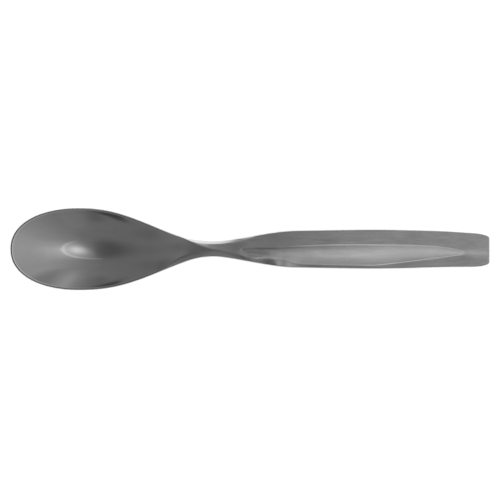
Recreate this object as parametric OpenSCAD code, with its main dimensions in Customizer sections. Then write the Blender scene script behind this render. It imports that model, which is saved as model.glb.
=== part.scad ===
// Soup spoon with a twisted neck and a hollow handle, lying as it does on a table.
// X runs from the tip of the bowl to the butt, Y goes across, and Z is up, out of the bowl.
// Each piece is a skin over sections cut square to X. In the functions, s is the distance
// of a section from the tip of the bowl, and the points of a section are [y, z].

/* [Overall] */
// Length from the tip of the bowl to the butt
overall_l = 200; // [192:1:215]
// Height above the table of the handle's right edge, where the handle arches highest
crest_h = 16; // [14:0.5:19]
// Distance from the narrowest place of the neck to that highest place
crest_from_neck = 22; // [18:1:30]

/* [Bowl] */
// Width of the bowl where it is widest
bowl_w = 34.2; // [30:0.2:40]
// Distance from the tip to the widest place
bowl_widest = 29; // [25:0.5:33]
// Distance from the tip to the deepest place
bowl_deepest = 37; // [32:0.5:42]
// Depth of the hollow below the rim
bowl_depth = 8.4; // [7:0.1:10]
// Thickness of the bowl's floor
bowl_floor = 1.6; // [1.2:0.1:2.4]
// Thickness of the rounded rim
rim_t = 1.2; // [0.8:0.1:1.8]
// Rise of the rim from its lowest place to the tip
tip_lift = 1; // [0:0.1:2]

/* [Neck] */
// Distance from the tip to the narrowest place of the neck
neck_at = 85.5; // [82:0.5:90]
// Width of the neck there
neck_w = 5.9; // [5:0.1:8]
// Thickness of the forged bar before its quarter turn
neck_t = 4.2; // [3.4:0.1:5]
// Distance over which the bar makes its quarter turn
twist_l = 26; // [20:1:30]
// Distance from the end of the bowl's hollow to the narrowest place
hollow_to_neck = 5; // [2:0.5:10]
// Length over which a flat land opens beside the bowl's left rim
land_l = 19; // [14:1:26]
// Distance from the end of that opening to the narrowest place
land_to_neck = 6.5; // [4:0.5:10]
// Height by which the turned bar leans over to its right edge
neck_lean = 1.2; // [0:0.1:1.6]
// Width of the bevel along the turned bar's right edge
chamfer_w = 0.9; // [0.4:0.1:1.2]

/* [Handle] */
// Distance from the narrowest place of the neck to the mouth of the handle shells
joint_from_neck = 10.5; // [8:0.5:14]
// Distance from the narrowest place over which the handle widens
flare_l = 34; // [26:1:42]
// Width of the handle at the end of that widening
shoulder_w = 15.3; // [13:0.1:16]
// Width of the handle where it is widest
handle_w = 16.2; // [14:0.2:19]
// Distance from that widest place to the butt
widest_from_butt = 47; // [40:1:55]
// Width of the handle at the butt, before its corners are rounded
butt_w = 13.5; // [11:0.1:15]
// Depth of the handle below its right edge at the mouth
mouth_h = 5.2; // [4.6:0.1:6.5]
// Depth of the handle below its right edge where it is widest
handle_h = 6.2; // [5.4:0.1:8]
// Depth of the handle below its right edge at the butt
butt_h = 5; // [4:0.1:6.5]
// Rise of the plain facet from the right edge to the ridge, where the handle is widest
facet_h = 1.8; // [0.8:0.1:2.6]
// Width of the land along the left edge
land_w = 1.2; // [0.8:0.1:1.8]
// Fall of that land to the left edge
land_h = 0.26; // [0.1:0.02:0.4]
// Width of the narrow bevel along the right edge
edge_w = 0.15; // [0.1:0.05:0.3]
// Width of the facet in which the turned bar runs out, at the mouth of the shells
runout_w = 1.3; // [0.9:0.1:1.6]
// Width of that facet where it ends
runout_end_w = 3; // [1.8:0.1:3.2]
// Length over which it widens
runout_l = 12; // [8:1:16]
// Length over which the ridge is rounded off towards the butt
crown_l = 28; // [15:1:40]
// Height over which it is rounded at the butt
crown_h = 1.3; // [0.4:0.1:2]
// Thickness of the shells
shell_t = 0.9; // [0.6:0.05:1.1]

/* [Flute] */
// Depth of the flute where the handle is widest
flute_d = 0.4; // [0.2:0.05:0.6]
// Height of the flute's left border over the ridge, where the handle is widest
border_h = 0.45; // [0.3:0.05:0.7]
// Distance of the ridge from the middle of the handle
ridge_y = 1.8; // [0.6:0.1:3]
// Distance of the flute's tips from the middle, on the other side
flute_tip_y = 1; // [0.5:0.1:2]
// Width of the flute's blunt tips
flute_tip_w = 0.3; // [0.2:0.05:0.6]
// Distance from the flute's near tip to the mouth of the shells
flute_to_joint = 2.5; // [1.5:0.5:4]
// Distance from the flute's far tip to the butt
flute_from_butt = 9; // [6:0.5:20]

/* [Tang] */
// Length of the tang inside the handle
tang_l = 42; // [30:1:70]
// Width of the tang
tang_w = 4; // [3:0.1:4.6]
// Thickness of the tang
tang_t = 2; // [1.5:0.1:2.4]
// Share of its width and thickness that the tang keeps at its end
tang_taper = 0.8; // [0.6:0.05:1]
// Length of the cement round the tang
cement_l = 30; // [15:1:60]

/* [Butt cap] */
// Thickness of the cap
cap_t = 1.5; // [1:0.1:2.5]
// Length of the spigot that locates the cap in the shells
spigot_l = 3; // [2:0.5:6]
// Length of the rounded corners of the outline at the butt
corner_l = 6.6; // [4:0.2:9]
// Depth of the rounded corners
corner_d = 1.7; // [1:0.1:2.4]

/* [Fits] */
// Clearance of the spigot, the cement and the tang
fit_gap = 0.05; // [0.02:0.01:0.15]

/* [Hidden] */

steel = "#8f9092";
bright_steel = "#a2a3a5";
cement_grey = "#b9b2a4";

// Places along the spoon
joint_at = neck_at + joint_from_neck;
twist_at = joint_at - twist_l;
land_from = neck_at - land_to_neck - land_l;
hollow_end = neck_at - hollow_to_neck;
crest_at = neck_at + crest_from_neck;
flare_end = neck_at + flare_l;
handle_widest = overall_l - widest_from_butt;
flute_at = joint_at - flute_to_joint;
flute_end = overall_l - flute_from_butt;
shell_end = overall_l - cap_t;
rim_h = bowl_depth + bowl_floor;

// Slopes of the top face: the plain facet, the land, and the sides of the flute
facet_slope = facet_h / (handle_w / 2 - ridge_y);
land_slope = land_h / land_w;
flute_slope = 4 * flute_d / (handle_w / 2 + ridge_y - land_w);

// Characters of the curves: fullness of the outlines, of the hollow and of the handle's underside
tip_power = 2.2;
back_power = 1.13;
dip_power = 2.4;
swell_power = 1.4;
flare_power = 0.85;
hull_power = 2.6;
tang_power = 5;
ridge_power = 4.5;
border_power = 0.65;
// Spread of the points over a section of the bowl: 0 is even, 1 crowds them at the rims
crowding = 0.5;
// Share by which the hollow is less steep at the rim
rim_ease = 0.08;
// Radius of the rim where it runs into the neck, as a share of its thickness
neck_rim = 0.25;
// The land beside the bowl's left rim: its share of the width, its slope, and its rounded crest
land_share = 0.65;
rim_land_slope = 0.22;
rim_land_ready = 0.4;
crest_round = 0.05;
// Smallest width and rounding, which keep the sections whole
hair = 0.01;
// Share of the quarter turn in which the right rim's lower edge rises to the top
lift_share = 0.35;
// Shares of the quarter turn along which the right bevel grows and fades, and the bar's lean fades
bevel_grows = [0.15, 0.65];
bevel_fades = [1.3, 0.95];
lean_fades = [1, 0.55];
// Share of the bar's back that is its right bevel
bevel_share = 0.15;
// Angle on the underside at which the bar's left side meets its back
side_angle = 60;
// Slope of the run-out facet in the neck, at the mouth of the shells and at its end
runout_slopes = [0.6, 0.3, -0.03];
// In run-out lengths from the mouth: where the facet widens and narrows again, where its slope
// eases and goes over to the land's, where the land tips over, and where the border is worn down
runout_widens = [0.2, 1.1];
runout_narrows = [1.25, 2.25];
runout_eases = [-1, 0];
runout_levels = [0.55, 1.3];
runout_tips = [1.5, 2.5];
land_tips = [0.35, 1.35];
border_wears = [0, 1.5];
// In shares of the flute's length: where its tips open, where the ridge bends off, rises and falls,
// and where the border bends off, grows higher, closes in and sinks
near_tip_opens = [0, 0.015];
far_tip_closes = [1, 0.96];
ridge_bends = [0, 0.04];
ridge_rises = [0.04, 0.46];
ridge_falls = [0.48, 1];
border_bends = [0, 0.06];
border_grows = [0.19, 0.6];
border_closes = 0.4;
border_sinks = [1, 0.74];
// Shares of the ridge's distance and of the border's height that they have after the near tip
ridge_lead = 0.22;
border_lead = 0.55;
// The flute is steeper at its near end, where it eases twice, and deeper on the ridge's side midway
near_steepness = [1.3, 1.1];
near_eases = [0, 0.08];
middle_eases = [0.48, 0.68];
flute_skew = 0.4;
skew_starts = [0.09, 0.19];
skew_ends = [0.7, 0.5];
// Length of the blunt end of the tip, and of the stub that is cut off flat at the butt
tip_flat = 0.03;
butt_stub = 1;

// Numbers of sections and of points in a section
tip_steps = 18;
back_steps = 36;
wide_steps = 16;
narrow_steps = 8;
handle_steps = 42;
facet_steps = 5;
flute_steps = 7;
land_steps = 2;
hull_steps = 7;
tang_steps = 8;
cement_steps = 6;
cap_steps = 4;

function mix(a, b, t) = a + (b - a) * t;
function clamp(t) = min(max(t, 0), 1);
function smooth(t) = let (c = clamp(t)) c * c * (3 - 2 * c);
function ramp(span, t) = smooth((t - span[0]) / (span[1] - span[0]));
// The lower of two heights, rounded where they are closer than reach
function soft_min(a, b, reach) =
    let (near = max(reach - abs(a - b), 0))
    min(a, b) - near * near / (4 * reach);

// Half the width of the outline seen from above
function corner_in(s) =
    let (u = clamp((s - overall_l + corner_l) / corner_l))
    corner_d * (1 - sqrt(1 - u * u));
function swell(s) = s < handle_widest
    ? (handle_w - shoulder_w) / 2 * pow((handle_widest - s) / (handle_widest - flare_end), swell_power)
    : (handle_w - butt_w) / 2 * pow((s - handle_widest) / widest_from_butt, swell_power);
function tip_half(s) =
    bowl_w / 2 * pow(1 - pow(1 - s / bowl_widest, tip_power), 1 / tip_power);
function back_half(s) =
    let (u = (s - bowl_widest) / (neck_at - bowl_widest))
    mix(neck_w, bowl_w, (1 + cos(180 * pow(u, back_power))) / 2) / 2;
function handle_half(s) =
    mix(neck_w / 2, handle_w / 2 - swell(s), smooth(pow((s - neck_at) / flare_l, flare_power)))
    - corner_in(s);
function half(s) =
    s < bowl_widest ? tip_half(s) :
    s < neck_at ? back_half(s) :
    handle_half(s);

// Height of the line that runs along the rim, the neck and the handle's right edge
function line_z(s) =
    s < bowl_deepest ? rim_h + tip_lift * pow(1 - s / bowl_deepest, 2) :
    s < crest_at ? mix(rim_h, crest_h, ramp([bowl_deepest, crest_at], s)) :
    mix(crest_h, butt_h, pow((s - crest_at) / (overall_l - crest_at), 2));

// Bowl: depth of the hollow in the middle of a section, thickness, and radius of the rim
function hollow(s) = s < bowl_deepest
    ? bowl_depth * (1 - pow(1 - s / bowl_deepest, dip_power))
    : bowl_depth * (1 + cos(180 * clamp((s - bowl_deepest) / (hollow_end - bowl_deepest)))) / 2;
function rim_th(s) = mix(rim_t, neck_t, ramp([bowl_deepest, neck_at], s));
function floor_th(s) = mix(bowl_floor, neck_t, ramp([bowl_deepest, neck_at], s));
function land_u(s) = (s - land_from) / land_l;
function rim_r(s) = min(mix(rim_t / 2, rim_t * neck_rim, smooth(land_u(s))), half(s) / 2);
function spread(t) = mix(1 - 2 * t, cos(180 * t), crowding);

// Share of the hollow's depth at a place across it: 1 in the middle, 0 at the rim
function dished(v) = (1 - v * v) * (1 - rim_ease * v * v);

// Height of the bowl's inside, v from the left rim (-1) to the right rim (1). Towards the neck a land
// opens beside the left rim, and then takes the whole width.
function land_edge(s) =
    -1 + land_share * smooth(land_u(s)) + (2 - land_share) * smooth(2 * (land_u(s) - 1));
function dish_z(s, v) =
    let (edge = land_edge(s),
         ready = smooth(land_u(s) / rim_land_ready),
         across = 2 * (v - edge) / max(1 - edge, hair) - 1,
         hollow_z = -hollow(s) * dished(across),
         land_z = rim_land_slope * ready * (v - edge) * half(s))
    line_z(s) + soft_min(hollow_z, land_z, max(crest_round * bowl_depth * ready, hair));

// The four sides of a section of the bowl: inside, left rim, outside, right rim
function bowl_inside(s, t) = let (v = spread(t)) [v * (half(s) - rim_r(s)), dish_z(s, v)];
function bowl_left(s, t) =
    [-half(s) + rim_r(s) * (1 - sin(180 * t)), dish_z(s, -1) - rim_th(s) * (1 - cos(180 * t)) / 2];
function bowl_outside(s, t) =
    let (v = -spread(t))
    [v * (half(s) - rim_r(s)), dish_z(s, v) - mix(floor_th(s), rim_th(s), v * v)];
function bowl_right(s, t) =
    [half(s) - rim_r(s) * (1 - sin(180 * t)), dish_z(s, 1) - rim_th(s) * (1 + cos(180 * t)) / 2];

// Handle: the turned bar's right bevel, and the facet in which its old inside runs out on the left,
// which ends as the land along the left edge
function turn_u(s) = (s - twist_at) / twist_l;
function runout_u(s) = (s - joint_at) / runout_l;
function leaf_u(s) = clamp((s - flute_at) / (flute_end - flute_at));
function bevel(s) =
    mix(edge_w, chamfer_w, ramp(bevel_grows, turn_u(s)) * ramp(bevel_fades, turn_u(s)));
function runout_width(s) =
    let (u = runout_u(s), opened = mix(runout_w, runout_end_w, ramp(runout_widens, u)))
    mix(opened, land_w, ramp(runout_narrows, u));
function runout_slope(s) =
    let (u = runout_u(s), bar = mix(runout_slopes[0], runout_slopes[1], ramp(runout_eases, u)))
    mix(mix(bar, runout_slopes[2], ramp(runout_levels, u)), land_slope, ramp(runout_tips, u));
function left_top(s) = runout_width(s) - half(s);

// The flute is a leaf between the ridge on its right and its border on the left
function ridge(s) =
    let (u = leaf_u(s),
         start = max(-flute_tip_y, left_top(s) + edge_w + flute_tip_w),
         lead = mix(start, ridge_lead * ridge_y, ramp(ridge_bends, u)),
         rise = (1 - ridge_lead) * ridge_y * ramp(ridge_rises, u),
         fallen = pow(clamp((u - ridge_falls[0]) / (ridge_falls[1] - ridge_falls[0])), ridge_power))
    lead + rise - (ridge_y + flute_tip_y) * fallen;
function border(s) =
    let (u = leaf_u(s),
         outer = left_top(s) + edge_w,
         tip = -flute_tip_y - flute_tip_w,
         closing = mix(tip, outer, pow(clamp((1 - u) / border_closes), border_power)))
    mix(max(tip, outer), closing, ramp(border_bends, u));
function border_rise(s) =
    let (u = leaf_u(s),
         plane = facet_slope * (ridge(s) - border(s)),
         grown = mix(border_lead, 1, ramp(border_grows, u)),
         worn = border_h * grown * ramp(border_sinks, u))
    mix(plane, worn, ramp(border_wears, runout_u(s)));
function steepness(s) =
    let (u = leaf_u(s), near = mix(near_steepness[0], near_steepness[1], ramp(near_eases, u)))
    flute_slope * mix(near, 1, ramp(middle_eases, u));
function skew_power(s) =
    let (u = leaf_u(s))
    1 + flute_skew * ramp(skew_starts, u) * ramp(skew_ends, u);

// Height of the top face: the facet rises from the right edge to the ridge, the flute is hollowed out
// between the ridge and its border, and the land falls from the border to the left
function top_z(s, y) =
    let (u = leaf_u(s), w = half(s), r = ridge(s), b = border(s),
         lean = neck_lean * ramp(lean_fades, turn_u(s)) * (y + w) / (2 * w),
         facet = facet_slope * (w - y),
         ridge_z = facet_slope * (w - r),
         border_z = ridge_z + border_rise(s),
         land = border_z - mix(-facet_slope, runout_slope(s), ramp(land_tips, runout_u(s))) * (b - y),
         roof = soft_min(facet, land, hair + crown_h * ramp([overall_l - crown_l, overall_l], s)),
         t = clamp((r - y) / (r - b)),
         flute = mix(ridge_z, border_z, t) - steepness(s) * (r - b) * t * pow(1 - t, skew_power(s)),
         fluted = y > r ? facet : y < b ? land : flute,
         cut = ramp(near_tip_opens, u) * ramp(far_tip_closes, u))
    line_z(s) - lean + mix(roof, fluted, cut);
function depth(s) = s < handle_widest
    ? mix(mouth_h, handle_h, ramp([joint_at, handle_widest], s))
    : mix(handle_h, butt_h, pow((s - handle_widest) / widest_from_butt, 2));

// A point on the top face at y, and a point on the underside, a from the left edge (0) to the right
// edge (180). Both lie inset below the surface.
function top_point(s, y, inset = 0) =
    let (inner_y = y * (half(s) - inset) / half(s))
    [inner_y, top_z(s, inner_y) - inset];
function left_edge_z(s) = top_z(s, left_top(s)) - runout_width(s) * runout_slope(s);
function right_edge_z(s) = top_z(s, half(s) - bevel(s)) - bevel(s);
function hull_point(s, a, inset = 0) =
    let (side = a <= 90 ? -1 : 1,
         edge_z = (a <= 90 ? left_edge_z(s) : right_edge_z(s)) - inset,
         floor_z = line_z(s) - depth(s) + inset,
         y = side * (half(s) - inset) * pow(abs(cos(a)), 2 / hull_power))
    [y, mix(edge_z, floor_z, pow(sin(a), 2 / hull_power))];

// The handle's section on four sides like the bowl's, so that one can turn into the other: the bowl's
// inside becomes the run-out, its left rim the left flank, its outside the back with the right bevel,
// and its right rim the top
function bar_runout(s, t) = mix(top_point(s, left_top(s)), hull_point(s, 0), t);
function bar_flank(s, t) = hull_point(s, side_angle * t);
function bar_back(s, t) =
    let (a = mix(side_angle, 180, clamp(t / (1 - bevel_share))),
         slant = clamp((t - 1 + bevel_share) / bevel_share))
    mix(hull_point(s, a), top_point(s, half(s) - bevel(s)), slant);
function bar_top(s, t) = top_point(s, mix(half(s) - bevel(s), left_top(s), t));

// A section of the forging: the bowl's section, turned into the handle's along the neck
function steps(n) = [for (k = [0:n - 1]) k / n];
function bowl_ring(s) = concat(
    [for (t = steps(wide_steps)) bowl_inside(s, t)],
    [for (t = steps(narrow_steps)) bowl_left(s, t)],
    [for (t = steps(wide_steps)) bowl_outside(s, t)],
    [for (t = steps(narrow_steps)) bowl_right(s, t)]);
function neck_ring(s) =
    let (turn = smooth(turn_u(s)),
         lift = smooth(turn_u(s) / lift_share),
         upper = mix(bowl_inside(s, 0), bar_runout(s, 0), turn),
         lower = mix(bowl_outside(s, 1), bar_back(s, 1), lift))
    concat(
        [for (t = steps(wide_steps)) mix(bowl_inside(s, t), bar_runout(s, t), turn)],
        [for (t = steps(narrow_steps)) mix(bowl_left(s, t), bar_flank(s, t), turn)],
        [for (t = steps(wide_steps)) mix(bowl_outside(s, t), bar_back(s, t), mix(turn, lift, t))],
        [for (t = steps(narrow_steps))
            let (bowl_bulge = bowl_right(s, t) - mix(bowl_outside(s, 1), bowl_inside(s, 0), t),
                 bar_bulge = bar_top(s, t) - mix(bar_back(s, 1), bar_runout(s, 0), t))
            mix(lower, upper, t) + bowl_bulge * (1 - lift) + bar_bulge * turn]);
function forging_ring(s) = s > twist_at ? neck_ring(s) : bowl_ring(s);

// The two halves of the handle's section, each from the ridge to the middle of the underside
function right_side(s, inset) = concat(
    [for (i = [0:facet_steps]) top_point(s, mix(ridge(s), half(s) - bevel(s), i / facet_steps), inset)],
    [for (i = [0:hull_steps]) hull_point(s, 180 - 90 * i / hull_steps, inset)]);
function left_side(s, inset) = concat(
    [for (i = [0:flute_steps]) top_point(s, mix(ridge(s), border(s), i / flute_steps), inset)],
    [for (i = [1:land_steps]) top_point(s, mix(border(s), left_top(s), i / land_steps), inset)],
    [for (i = [0:hull_steps]) hull_point(s, 90 * i / hull_steps, inset)]);
function reversed(list) = [for (i = [len(list) - 1:-1:0]) list[i]];
function right_ring(s) = concat(reversed(right_side(s, 0)), right_side(s, shell_t));
function left_ring(s) = concat(left_side(s, 0), reversed(left_side(s, shell_t)));
// The whole section of the handle, from the ridge over the left side and back up the right side
function handle_ring(s, inset) =
    let (left = left_side(s, inset), right = reversed(right_side(s, inset)))
    concat(left, [for (i = [1:len(right) - 2]) right[i]]);

// The tang: a bar with rounded sides along the middle of the hollow handle
function tang_z(s) = line_z(s) + (top_z(s, 0) - line_z(s) - depth(s)) / 2;
function tang_size(s) = mix(1, tang_taper, (s - joint_at) / tang_l);
function tang_ring(s, around, gap = 0) =
    let (middle = [0, tang_z(joint_at)],
         w = tang_w / 2 * tang_size(s) + gap,
         h = tang_t / 2 * tang_size(s) + gap)
    [for (p = around)
        let (way = (p - middle) / norm(p - middle),
             far = pow(abs(way[0]) / w, tang_power) + pow(abs(way[1]) / h, tang_power))
        [0, tang_z(s)] + way * pow(far, -1 / tang_power)];

// Skins over sections. A ring is placed at its distance from the tip, and bands of triangles join it
// to the next one. The ends are closed by fans round a middle point or, on shells, from wall to wall.
function placed(s, ring) = [for (p = ring) [s - overall_l / 2, p[0], p[1]]];
function band(a, b, n) =
    [for (k = [0:n - 1], half_face = [0, 1])
        let (m = (k + 1) % n)
        half_face == 0 ? [a + k, b + k, a + m] : [a + m, b + k, b + m]];
function fan(first, n, middle, front) =
    [for (k = [0:n - 1])
        let (a = first + k, b = first + (k + 1) % n)
        front ? [middle, a, b] : [middle, b, a]];
function wall_lid(first, n, front) =
    [for (k = [0:n / 2 - 2], half_face = [0, 1])
        let (a = first + k, b = a + 1, d = first + n - 1 - k, c = d - 1)
        half_face == 0 ? (front ? [a, b, d] : [a, d, b]) : (front ? [b, c, d] : [b, d, c])];
function flat(lists) = [for (list = lists) each list];
function middle_of(ring) = [for (p = ring) 1] * ring / len(ring);

module skin(rings) {
    n = len(rings[0]);
    last = len(rings) - 1;
    count = len(rings) * n;
    sides = flat([for (r = [0:last - 1]) band(r * n, (r + 1) * n, n)]);
    ends = concat(fan(0, n, count, true), fan(last * n, n, count + 1, false));
    points = concat(flat(rings), [middle_of(rings[0]), middle_of(rings[last])]);
    polyhedron(points, concat(sides, ends), convexity = 8);
}
// A shell whose rings run along its outer face and back along its inner face
module shell(rings) {
    n = len(rings[0]);
    last = len(rings) - 1;
    sides = flat([for (r = [0:last - 1]) band(r * n, (r + 1) * n, n)]);
    ends = concat(wall_lid(0, n, true), wall_lid(last * n, n, false));
    polyhedron(flat(rings), concat(sides, ends), convexity = 8);
}
// A tube between outer and inner rings of as many points
module tube(outer, inner) {
    n = len(outer[0]);
    loops = concat(outer, reversed(inner));
    count = len(loops);
    sides = flat([for (r = [0:count - 1]) band(r * n, (r + 1) % count * n, n)]);
    polyhedron(flat(loops), sides, convexity = 8);
}

tip_stations = [for (i = [0:tip_steps - 1]) bowl_deepest * (1 - cos(90 * i / tip_steps))];
back_stations = [for (i = [0:back_steps]) mix(bowl_deepest, joint_at, i / back_steps)];
tang_stations = [for (i = [0:tang_steps]) joint_at + tang_l * i / tang_steps];
shell_stations = [for (i = [0:handle_steps]) mix(joint_at, shell_end, i / handle_steps)];
cement_stations = [for (i = [0:cement_steps]) joint_at + fit_gap + cement_l * i / cement_steps];
cap_stations = [for (i = [0:cap_steps]) mix(shell_end, overall_l, sin(90 * i / cap_steps))];

// Bowl, twisted neck and tang: one forging, with a shoulder that the shells butt against
module bowl() {
    mouth = forging_ring(joint_at);
    color(bright_steel)
        skin(concat(
            [for (s = tip_stations) placed(s, forging_ring(max(s, tip_flat)))],
            [for (s = back_stations) placed(s, forging_ring(s))],
            [for (s = tang_stations) placed(s, tang_ring(s, mouth))]));
}

// Right half of the handle: the plain facet of the top face and half of the underside
module handle_right_shell() {
    color(steel)
        shell([for (s = shell_stations) placed(s, right_ring(s))]);
}

// Left half of the handle: the flute, its border, the land and the other half of the underside
module handle_left_shell() {
    color(steel)
        shell([for (s = shell_stations) placed(s, left_ring(s))]);
}

// Cement that fills the handle round the tang
module tang_cement() {
    wall = shell_t + fit_gap;
    color(cement_grey)
        tube([for (s = cement_stations) placed(s, handle_ring(s, wall))],
             [for (s = cement_stations) placed(s, tang_ring(s, handle_ring(joint_at, wall), fit_gap))]);
}

// End cap: a plate with the handle's outline and a spigot inside the shells, cut flat at the butt
module butt_cap() {
    wall = shell_t + fit_gap;
    butt_ring = handle_ring(overall_l, 0);
    color(bright_steel)
        difference() {
            skin(concat(
                [for (s = [shell_end - spigot_l, shell_end]) placed(s, handle_ring(s, wall))],
                [for (s = cap_stations) placed(s, handle_ring(s, 0))],
                [placed(overall_l + butt_stub, butt_ring)]));
            translate([overall_l / 2, -butt_w, -butt_h])
                cube([2 * butt_stub, 2 * butt_w, 3 * butt_h]);
        }
}

bowl();
handle_right_shell();
handle_left_shell();
tang_cement();
butt_cap();
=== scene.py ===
import bmesh
import bpy
import numpy as np
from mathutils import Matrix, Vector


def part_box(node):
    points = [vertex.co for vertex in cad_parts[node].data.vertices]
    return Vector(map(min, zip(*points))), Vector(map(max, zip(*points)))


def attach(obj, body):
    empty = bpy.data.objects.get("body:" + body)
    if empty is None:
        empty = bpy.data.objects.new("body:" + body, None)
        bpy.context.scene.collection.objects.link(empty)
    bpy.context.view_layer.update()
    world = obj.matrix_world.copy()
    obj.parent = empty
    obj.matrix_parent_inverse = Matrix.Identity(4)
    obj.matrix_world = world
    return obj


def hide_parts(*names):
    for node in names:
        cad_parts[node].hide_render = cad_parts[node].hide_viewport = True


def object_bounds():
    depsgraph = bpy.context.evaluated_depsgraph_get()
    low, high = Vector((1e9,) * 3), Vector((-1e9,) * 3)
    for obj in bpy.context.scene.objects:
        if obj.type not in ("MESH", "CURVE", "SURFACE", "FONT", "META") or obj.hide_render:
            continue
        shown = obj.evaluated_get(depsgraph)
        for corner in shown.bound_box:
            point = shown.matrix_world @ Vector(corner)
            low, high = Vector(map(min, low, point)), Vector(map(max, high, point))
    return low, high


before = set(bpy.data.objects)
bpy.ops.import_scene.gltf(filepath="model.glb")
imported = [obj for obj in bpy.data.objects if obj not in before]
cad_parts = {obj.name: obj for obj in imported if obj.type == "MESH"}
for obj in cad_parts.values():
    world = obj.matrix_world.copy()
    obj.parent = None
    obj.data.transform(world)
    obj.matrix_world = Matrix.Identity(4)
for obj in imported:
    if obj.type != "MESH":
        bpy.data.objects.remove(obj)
cad_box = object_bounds()

# Bowl, neck and tang. One forging of stainless steel: a thin oval bowl with a rounded rim, a neck that
# makes a quarter turn, so that the bowl's right rim comes up as the top of the handle, and a tang that
# sits in the hollow handle. Forged, ground and polished.
MM = 0.001
bowl_low, bowl_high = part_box("bowl")
shell_low, shell_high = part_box("handle_right_shell")
spoon_l = (cad_box[1].x - cad_box[0].x) / MM
joint_at = shell_low.x / MM + spoon_l / 2
tang_end = bowl_high.x / MM + spoon_l / 2
bowl_w = (bowl_high.y - bowl_low.y) / MM
bowl_widest = 29.0
bowl_deepest = 37.0
bowl_depth = 8.4
bowl_floor = 1.6
rim_t = 1.2
rim_w = 0.85
rim_h = bowl_depth + bowl_floor
tip_lift = 1.0
neck_at = 85.5
neck_w = 6.4
neck_t = 4.2
rise_end = neck_at + 14.0
crest_at = neck_at + 22.0
crest_h = 15.87
butt_h = 5.0


def mix(a, b, t):
    return a + (b - a) * t


def smooth(t):
    c = np.clip(t, 0.0, 1.0)
    return c * c * (3 - 2 * c)


# From 0 at the first end of a span to 1 at its second end, which may be the lower one
def ramp(span, t):
    return smooth((t - span[0]) / (span[1] - span[0]))


# The lower of two heights, rounded where they are closer than reach
def soft_min(a, b, reach):
    near = np.clip(reach - np.abs(a - b), 0.0, None)
    return np.minimum(a, b) - near ** 2 / (4 * reach)


# Half the width of the outline seen from above, along the bowl, the neck and the handle
tip_power = 2.2
back_power = 1.13
flare_power = 0.81
swell_power = 1.4
flare_l = 34.0
shoulder_w = 15.3
handle_w = 16.2
handle_widest = spoon_l - 47.0
butt_w = 13.5
corner_l = 6.6
corner_d = 1.7


def corner_in(s):
    u = np.clip((s - spoon_l + corner_l) / corner_l, 0.0, 1.0)
    return corner_d * (1 - np.sqrt(1 - u * u))


def swell(s):
    if s < handle_widest:
        u = (handle_widest - s) / (handle_widest - neck_at - flare_l)
        return (handle_w - shoulder_w) / 2 * u ** swell_power
    return (handle_w - butt_w) / 2 * ((s - handle_widest) / (spoon_l - handle_widest)) ** swell_power


def half(s):
    if s > neck_at:
        opened = smooth(((s - neck_at) / flare_l) ** flare_power)
        return mix(neck_w / 2, handle_w / 2 - swell(s), opened) - corner_in(s)
    if s > bowl_widest:
        u = (s - bowl_widest) / (neck_at - bowl_widest)
        return mix(neck_w, bowl_w, (1 + np.cos(np.pi * u ** back_power)) / 2) / 2
    return bowl_w / 2 * (1 - (1 - s / bowl_widest) ** tip_power) ** (1 / tip_power)


# Height of the line along the bowl's rim, the neck and the handle's right edge. It rises behind the
# bowl's deepest place, runs level at the crest and falls to the butt.
def line_z(s):
    if s < bowl_deepest:
        return rim_h + tip_lift * (1 - s / bowl_deepest) ** 2
    if s < crest_at:
        return mix(rim_h, crest_h, ramp((bowl_deepest, rise_end), s))
    return mix(crest_h, butt_h, ((s - crest_at) / (spoon_l - crest_at)) ** 2)


# The bowl's own section: its hollow, a flat land that opens beside the left rim towards the neck and
# then takes the whole width, and the rounded rim. The land fills the width over a span in land lengths.
dip_power = 2.4
hollow_end = neck_at - 5.0
land_l = 19.0
land_end = neck_at - 6.5
land_from = land_end - land_l
land_share = 0.65
land_fills = (1.0, 1.5)
rim_ease = 0.08
rim_steep = 0.06
rim_eased = 0.06
steep_grows = (24.0, 33.0)
steep_eases = (38.0, 50.0)
steep_power = 3
rim_land_slope = 0.22
rim_land_ready = 0.4
crest_round = 0.05 * bowl_depth

# A width too small to see, used where something would be divided by nought
hair = 0.01


def pressed_depth(s):
    if s < bowl_deepest:
        return bowl_depth * (1 - (1 - s / bowl_deepest) ** dip_power)
    u = min((s - bowl_deepest) / (hollow_end - bowl_deepest), 1.0)
    return bowl_depth * (1 + np.cos(np.pi * u)) / 2


# Polishing evens out the floor: round the deepest place its depth is a mean over a short length
even_l = 3.0
even_reach = 10.0
even_n = 13
even_steps = np.linspace(-1.0, 1.0, even_n)


def hollow(s):
    length = even_l * smooth(1 - abs(s - bowl_deepest) / even_reach)
    return np.mean([pressed_depth(s + step * length) for step in even_steps])


# Share of the hollow's depth at a place across it: 1 in the middle, 0 at the rim. Under the rim the
# wall is steepest beside the deepest place.
def dished(s, v):
    steep = rim_steep * ramp(steep_grows, s) - (rim_steep + rim_eased) * ramp(steep_eases, s)
    return (1 - v ** 2) * (1 - rim_ease * v ** 2 + steep * np.minimum(v * v, 1.0) ** steep_power)


def land_u(s):
    return (s - land_from) / land_l


def land_edge(s):
    opened = land_share * smooth(land_u(s))
    return -1 + opened + (2 - land_share) * ramp(land_fills, land_u(s))


def dish_z(s, v):
    edge = land_edge(s)
    ready = smooth(land_u(s) / rim_land_ready)
    across = 2 * (v - edge) / max(1 - edge, hair) - 1
    hollow_z = -hollow(s) * dished(s, across)
    land_z = rim_land_slope * ready * (v - edge) * half(s)
    return line_z(s) + soft_min(hollow_z, land_z, max(crest_round * ready, hair))


# The ground rim: it narrows towards the neck, and across it the steel goes out and falls, squarely at
# the bowl and roundly at the neck
neck_rim = 0.25 * rim_t
rim_square = 0.5


def rim_r(s):
    return mix(rim_w, neck_rim, smooth(land_u(s)))


def rim_out(t, square):
    return np.sin(np.pi * t) ** square


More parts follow.
